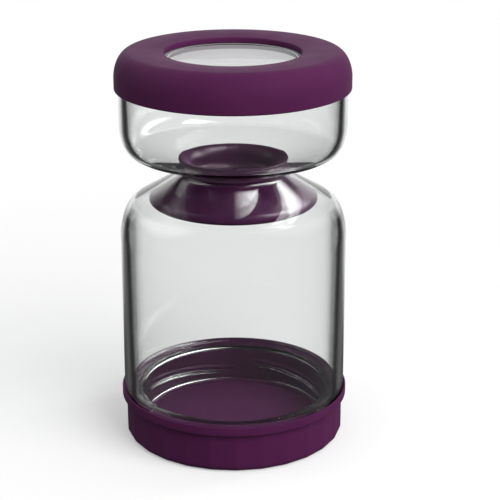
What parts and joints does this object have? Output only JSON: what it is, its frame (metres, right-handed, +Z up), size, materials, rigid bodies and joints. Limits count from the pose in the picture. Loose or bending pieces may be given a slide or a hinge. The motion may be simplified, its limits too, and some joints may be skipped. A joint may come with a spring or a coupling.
{
  "type": "flip pickle jar",
  "caption": "Hourglass glass keeper on a screw base lid, with a windowed screw cap, a drain bowl and a lift-out strainer in its neck for draining by flipping.",
  "frame": {"origin": "centre of the underside of the base lid, on the surface that the jar stands on", "axes": "+Z up along the jar's axis; -Y is the front that the picture shows"},
  "size_m": [0.1036, 0.1036, 0.1779],
  "materials": {
    "lid_plastic": "soft-touch matte plum plastic",
    "liner_plastic": "satin moulded plum plastic",
    "silicone": "smooth glossy plum silicone",
    "glass": "clear polished glass",
    "window": "clear polished disc"
  },
  "bodies": {
    "base": {"base_lid": "lid_plastic", "base_liner": "liner_plastic"},
    "seal": {"base_gasket": "silicone"},
    "jar": {"glass_chamber": "glass", "glass_bowl": "glass"},
    "skirt": {"neck_skirt": "silicone"},
    "strainer": {"strainer_cup": "silicone"},
    "window": {"window_disc": "window", "cap_gasket": "silicone"},
    "cap": {"cap_shell": "lid_plastic", "cap_liner": "liner_plastic"}
  },
  "joints": [
    {"name": "jar_rise", "type": "slide", "parent": "base", "child": "seal", "axis": [0, 0, 1], "range_m": [0, 0.02]},
    {"name": "jar_turn", "type": "hinge", "parent": "seal", "child": "jar", "pos_m": [0, 0, 0], "axis": [0, 0, 1], "range_deg": [0, 360]},
    {"name": "skirt_drop", "type": "slide", "parent": "jar", "child": "skirt", "axis": [0, 0, -1], "range_m": [0, 0.025]},
    {"name": "strainer_lift", "type": "slide", "parent": "jar", "child": "strainer", "axis": [0, 0, 1], "range_m": [0, 0.03]},
    {"name": "cap_rise", "type": "slide", "parent": "jar", "child": "window", "axis": [0, 0, 1], "range_m": [0, 0.012]},
    {"name": "cap_turn", "type": "hinge", "parent": "window", "child": "cap", "pos_m": [0, 0, 0.17], "axis": [0, 0, 1], "range_deg": [0, 360]}
  ],
  "couplings": [
    {"joint": "jar_rise", "follows": "jar_turn", "m_per_rad": 0.0031831},
    {"joint": "cap_rise", "follows": "cap_turn", "m_per_rad": 0.0019099}
  ]
}
